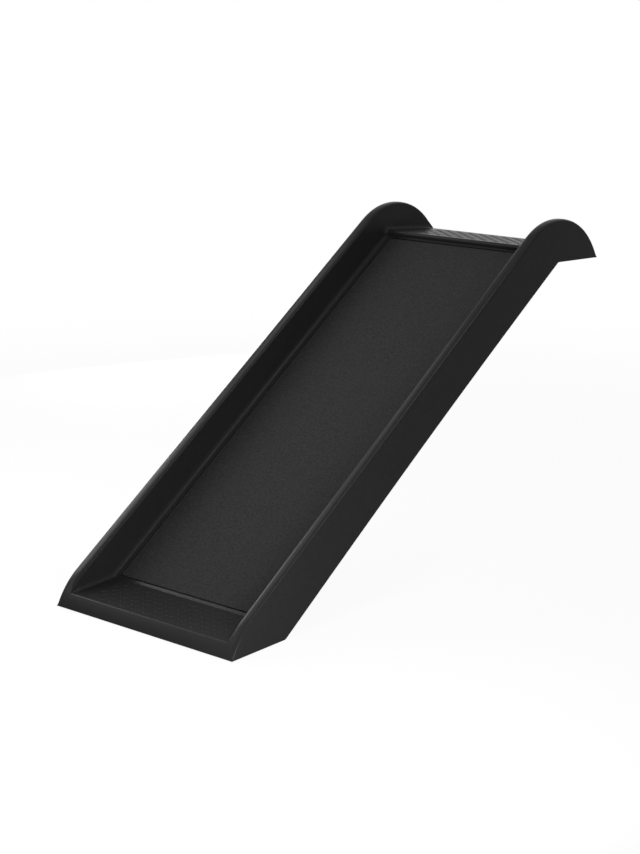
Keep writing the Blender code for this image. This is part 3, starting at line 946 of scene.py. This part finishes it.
def tread_field(name, columns, rows, start, along, proud):
    """A field of bars across the ramp, from a point of the side view along a direction."""
    field = tread_cell(name, proud)
    repeat(field, columns // 2, (2 * BAR_PITCH, 0, 0))
    repeat(field, rows // 2, (0, 2 * BAR_PITCH, 0))
    field.rotation_euler.x = math.atan2(along.y, along.x)
    field.location = in_frame(-(columns - 1) / 2 * BAR_PITCH, start)
    settle(field)
    bpy.ops.object.shade_smooth_by_angle(angle=BAR_SMOOTH_TURN)
    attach(field, "root")
    count(field)
    return field


# %% Tread the lip and the landing
TREAD_COLUMNS, LIP_ROWS, LANDING_ROWS = 22, 10, 6
LIP_BAR_PROUD = 0.0005
LANDING_BAR_PROUD = 0.00025


def first_row(start, stop, along, rows):
    """Where a field's first row goes, so that as much is left bare before it as behind it."""
    return start + along * ((stop - start).length - (rows - 1) * BAR_PITCH) / 2


_, deck_start, _, riser_top, lip_edge = floor_corners(0)
lip_start = first_row(riser_top, lip_edge, ALONG_LIP_TOP, LIP_ROWS)
landing_start = first_row(LANDING_EDGE, deck_start, ALONG_LANDING, LANDING_ROWS)
lip_bars = tread_field(
    "lip_tread", TREAD_COLUMNS, LIP_ROWS, lip_start, ALONG_LIP_TOP, LIP_BAR_PROUD
)
landing_bars = tread_field(
    "landing_tread", TREAD_COLUMNS, LANDING_ROWS, landing_start, ALONG_LANDING, LANDING_BAR_PROUD
)
for field in (lip_bars, landing_bars):
    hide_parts("ramp_shell")

# %% [markdown]
# ## The camera
#
# A long lens from a little above the ramp keeps its two walls nearly parallel, as on a catalogue's
# page. A camera can be aimed by a constraint that tracks a target. Three turns multiplied together
# do the same and leave nothing to go wrong: a turn about the upright, a tilt down, and a very
# small lean.

# %% Camera
TURN, TILT, LEAN = 0.6893, 0.2463, -0.0061
CAMERA_PLACE = (1.7977, -2.2410, 0.9439)
camera_data = bpy.data.cameras.new("camera")
camera_data.sensor_fit = "VERTICAL"
camera_data.sensor_height = 36
camera_data.lens = 77.0
camera_data.clip_end = 200
camera = bpy.data.objects.new("camera", camera_data)
bpy.context.scene.collection.objects.link(camera)
bpy.context.scene.camera = camera
turned = Matrix.Rotation(TURN, 4, "Z")
tilted = Matrix.Rotation(math.pi / 2 - TILT, 4, "X")
leaned = Matrix.Rotation(-LEAN, 4, "Z")
camera.matrix_world = Matrix.Translation(CAMERA_PLACE) @ (turned @ tilted @ leaned)
print("camera at", tuple(round(c, 3) for c in camera.matrix_world.translation))

# %% [markdown]
# ## Finishes written as sums
#
# A finish is a small machine of nodes. Wired by hand, one by one, they hide the idea behind them.
# So the output of a node is wrapped in a class that can be used in a sum: cloud * 0.06 + 0.22 adds
# the two Math nodes that work it out. All other nodes come from one function, which sets a node's
# options first and then fills its sockets, with a number or with the output of another node.


# %% A value
class Value:
    """One output of a node, which can be used in a sum."""

    def __init__(self, tree, socket):
        self.tree, self.socket = tree, socket

    def math(self, operation, *numbers):
        return node(self.tree, "ShaderNodeMath", {"operation": operation}, dict(enumerate(numbers)))

    def __add__(self, other):
        return self.math("ADD", self, other)

    def __sub__(self, other):
        return self.math("SUBTRACT", self, other)

    def __rsub__(self, other):
        return self.math("SUBTRACT", other, self)

    def __mul__(self, other):
        return self.math("MULTIPLY", self, other)

    __radd__, __rmul__ = __add__, __mul__

    def clamped(self):
        return self.math("MAXIMUM", self.math("MINIMUM", self, 1.0), 0.0)


# %% A node
def node(tree, kind, settings=None, sockets=None, output=0):
    """Adds a node, sets it up, then feeds its sockets with numbers or with other values."""
    made = tree.nodes.new(kind)
    for name, value in (settings or {}).items():
        setattr(made, name, value)
    for name, value in (sockets or {}).items():
        if isinstance(value, Value):
            tree.links.new(value.socket, made.inputs[name])
        else:
            made.inputs[name].default_value = value
    return Value(tree, made.outputs[output])


# %% [markdown]
# ## A material around one shader
#
# Every finish here is one Principled shader. Numbers that are the same all over are set on the
# shader itself, and only what really varies over the surface is fed by nodes. The patterns are
# placed by Object coordinates, which are metres in the frame, so a grain of 1 mm is 1 mm on every
# piece.


# %% Finish
class Finish:
    """A material with one shader, whose fixed numbers are set on the shader itself."""

    def __init__(self, name, **fixed):
        self.material = bpy.data.materials.new(name)
        self.material.use_nodes = True
        self.tree = self.material.node_tree
        self.shader = self.tree.nodes["Principled BSDF"]
        for socket, value in fixed.items():
            self.shader.inputs[socket.replace("_", " ")].default_value = value
        self.place = self.add("ShaderNodeTexCoord", output="Object")

    def add(self, kind, settings=None, sockets=None, output=0):
        return node(self.tree, kind, settings, sockets, output)

    def noise(self, size, detail=2.0, roughness=0.5):
        """Noise from 0 to 1, whose blobs are about as big as a size in metres."""
        shape = {"Scale": 1 / size, "Detail": detail, "Roughness": roughness}
        return self.add("ShaderNodeTexNoise", sockets={"Vector": self.place, **shape})

    def mix(self, factor, colour_a, colour_b):
        """A colour between two others: Math nodes would turn it grey, so a Mix node does this."""
        # A Mix node keeps its two colours in sockets 6 and 7, and gives the mixed one in output 2.
        sockets = {0: factor, 6: (*colour_a, 1), 7: (*colour_b, 1)}
        return self.add("ShaderNodeMix", {"data_type": "RGBA"}, sockets, output=2)

    def feed(self, socket, value):
        self.tree.links.new(value.socket, self.shader.inputs[socket])

    def bump(self, height, depth):
        """Small hills and dips that the light sees, up to a depth in metres."""
        hills = self.add("ShaderNodeBump", sockets={"Height": height, "Distance": depth})
        self.feed("Normal", hills)

    def dress(self, *pieces):
        """Puts the material on pieces in place of what they have."""
        for piece in pieces:
            piece.data.materials.clear()
            piece.data.materials.append(self.material)
        print(self.material.name, "on", len(pieces), "pieces")


# %% [markdown]
# ## Black moulded plastic
#
# The moulding is polyethylene coloured black right through, with the fine etched grain of its
# tool. The plastic is almost black, and what shows its shape is the sheen on its roundings. A
# smooth glossy black would mirror the studio, and a quite dull one would lose the edges. So the
# roughness lies between the two and drifts a little over a hand's breadth, as it does where hands
# and cloths have rubbed it.

# %% Black moulded plastic
COOL_BLACK, WARM_BLACK = (0.0095, 0.0095, 0.0097), (0.0112, 0.0111, 0.0110)
SHEEN_ROUGHNESS, ROUGHNESS_DRIFT = 0.22, 0.06
GRAIN_SHARE, ETCHING_SHARE = 0.7, 0.3
plastic = Finish("black_moulded_plastic", Specular_IOR_Level=0.038)
cloud = plastic.noise(size=0.09, detail=3)
grain = plastic.noise(size=0.0011, detail=1.5)
etching = plastic.noise(size=0.0004, detail=1)
plastic.feed("Base Color", plastic.mix(cloud, COOL_BLACK, WARM_BLACK))
drift = cloud * ROUGHNESS_DRIFT + grain * ROUGHNESS_DRIFT
plastic.feed("Roughness", drift + SHEEN_ROUGHNESS)
plastic.bump(grain * GRAIN_SHARE + etching * ETCHING_SHARE, depth=0.00006)
plastic.dress(shell, lip_bars, landing_bars)

# %% [markdown]
# ## Gritty tread
#
# The mat is grip sheet: mineral grains of about a millimetre, held in a black binder. Real grains
# could be scattered over it, but there would be hundreds of thousands, each far too small to be
# seen as a shape. So two noises stand for them, one for clumps and one for grains. They drive the
# colour, from binder to grain, and the bump. Grit scatters light every way, so the mat is quite
# dull and looks greyer than the plastic although both are black.

# %% Gritty tread
BINDER, MINERAL = (0.0038, 0.0038, 0.0038), (0.0120, 0.0118, 0.0116)
# Both noises are steepened, and what stays over the binder's level is bare mineral.
CLUMP_GAIN, GRAIN_GAIN, BINDER_LEVEL = 3.2, 1.5, 1.85
gritty = Finish("gritty_tread", Specular_IOR_Level=0.2, Roughness=0.95)
clumps = gritty.noise(size=0.0034, roughness=0.6)
grains = gritty.noise(size=0.0012, roughness=0.6)
bare_grain = (clumps * CLUMP_GAIN + grains * GRAIN_GAIN - BINDER_LEVEL).clamped()
gritty.feed("Base Color", gritty.mix(bare_grain, BINDER, MINERAL))
gritty.bump(clumps * 0.5 + grains * 0.5, depth=0.0009)
gritty.dress(mat)

# %% [markdown]
# ## Rubber pads
#
# Eight turned rubber pads keep the ramp from sliding on the floor and on the sofa. Their round
# heads and stems have the right shape in the frame already, so nothing is modelled again: they
# only get a rubber's finish in place of their plain one. Rubber is dull, and pale dust sticks to
# it in spots.

# %% Rubber pads
CLEAN_RUBBER, DUSTY_RUBBER = (0.012, 0.012, 0.012), (0.022, 0.022, 0.021)
CLEAN_ROUGHNESS, DUST_ROUGHNESS = 0.7, 0.15
rubber = Finish("black_rubber", Specular_IOR_Level=0.3)
dust = rubber.noise(size=0.004, detail=3)
rubber.feed("Base Color", rubber.mix(dust, CLEAN_RUBBER, DUSTY_RUBBER))
rubber.feed("Roughness", dust * DUST_ROUGHNESS + CLEAN_ROUGHNESS)
rubber.bump(rubber.noise(size=0.0008), depth=0.00008)
rubber.dress(*(piece for name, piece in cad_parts.items() if "pad" in name))

# %% [markdown]
# ## White surroundings that don't light the ramp
#
# In a catalogue the ramp stands on white that runs to the edges. Enough lamps to burn the floor
# white would also wash out the black plastic. The Light Path node keeps the two apart: the camera,
# and what it sees in a gloss, meets plain white, while the light that falls on the ramp comes from
# a dim grey world. Near the ramp the floor keeps a share of its true surface, so the ramp's soft
# shadow stays, and that share fades out further off.


# %% What is seen, and what only lights
WHITE = (1, 1, 1, 1)


def seen_directly(tree):
    """1 for what the camera, a gloss or clear plastic sees, and 0 for light on things."""
    rays = ("Is Camera Ray", "Is Glossy Ray", "Is Transmission Ray")
    camera_ray, glossy_ray, clear_ray = (
        node(tree, "ShaderNodeLightPath", output=name) for name in rays
    )
    return (camera_ray + glossy_ray + clear_ray).clamped()


bpy.context.scene.view_settings.view_transform = "Standard"
print("view transform", bpy.context.scene.view_settings.view_transform)

# %% Floor
FLOOR_GREY = (0.62, 0.62, 0.62, 1)
SHADOW_SHARE = 0.06
SHADOW_NEAR, SHADOW_FAR = 0.9, 2.4
bpy.ops.object.select_all(action="DESELECT")
bpy.ops.mesh.primitive_plane_add(size=60)
floor = named("floor")
pale = Finish("pale_floor", Base_Color=FLOOR_GREY, Roughness=0.9, Specular_IOR_Level=0.0)
away = pale.add("ShaderNodeVectorMath", {"operation": "LENGTH"}, {0: pale.place}, output=1)
fade = {"Value": away, "From Min": SHADOW_NEAR, "From Max": SHADOW_FAR}
far = pale.add("ShaderNodeMapRange", {"interpolation_type": "SMOOTHSTEP"}, fade)
white = pale.add("ShaderNodeEmission", sockets={"Color": WHITE, "Strength": 1.0})
whiteness = seen_directly(pale.tree) * (far * SHADOW_SHARE + (1 - SHADOW_SHARE))
surface = Value(pale.tree, pale.shader.outputs[0])
mixed = pale.add("ShaderNodeMixShader", sockets={0: whiteness, 1: surface, 2: white})
pale.tree.links.new(mixed.socket, pale.tree.nodes["Material Output"].inputs["Surface"])
pale.dress(floor)

# %% World
# How bright the world is as a light, and how bright it looks.
DIM, FULL = 0.17, 1.0
world = bpy.data.worlds.new("studio")
bpy.context.scene.world = world
world.use_nodes = True
tree = world.node_tree
tree.nodes.clear()
lit = node(tree, "ShaderNodeBackground", sockets={"Color": WHITE, "Strength": DIM})
white = node(tree, "ShaderNodeBackground", sockets={"Color": WHITE, "Strength": FULL})
sky = node(tree, "ShaderNodeMixShader", sockets={0: seen_directly(tree), 1: lit, 2: white})
tree.links.new(sky.socket, tree.nodes.new("ShaderNodeOutputWorld").inputs["Surface"])
print("world", world.name, "with", len(tree.nodes), "nodes")

# %% [markdown]
# ## Soft boxes
#
# Black things are lit by what they reflect, so the lamps are large boxes of light, which draw soft
# highlights along the rounded edges. The main one is a long strip that hangs over the deck: it
# draws the light line at the far wall's foot. A box on the left and a strip over it shape the tops
# of both walls. One low on the right lifts the near wall's outside, and the last two fill in the
# nose and the back.


# %% Soft boxes
def softbox(name, place, aim, length, width, watts):
    """A rectangle of light at a place, turned towards an aim."""
    light = bpy.data.lights.new(name, "AREA")
    light.shape, light.size, light.size_y, light.energy = "RECTANGLE", length, width, watts
    lamp = bpy.data.objects.new(name, light)
    bpy.context.scene.collection.objects.link(lamp)
    lamp.location = place
    lamp.rotation_euler = (Vector(aim) - Vector(place)).to_track_quat("-Z", "Y").to_euler()
    print("soft box", name, watts, "W")


# Each one's name, place, aim, length, width and watts.
softbox("main", (0.24, -0.25, 1.15), (0, -0.23, 0.2), 0.9, 0.2, 6.4)
softbox("left", (-0.92, -0.3, 0.72), (0, -0.35, 0.1), 0.56, 0.46, 8.0)
softbox("over_left", (-0.55, -0.1, 0.98), (0.1, -0.15, 0.25), 0.75, 0.32, 3.2)
softbox("right_low", (0.68, -0.85, 0.16), (0.18, -0.42, 0.04), 0.4, 0.4, 12)
softbox("front", (-0.85, -1.0, 0.72), (0, -0.45, 0.0), 0.5, 0.5, 3.4)
softbox("back", (-1.35, 0.85, 0.3), (0, 0.25, 0.25), 0.5, 0.5, 9)
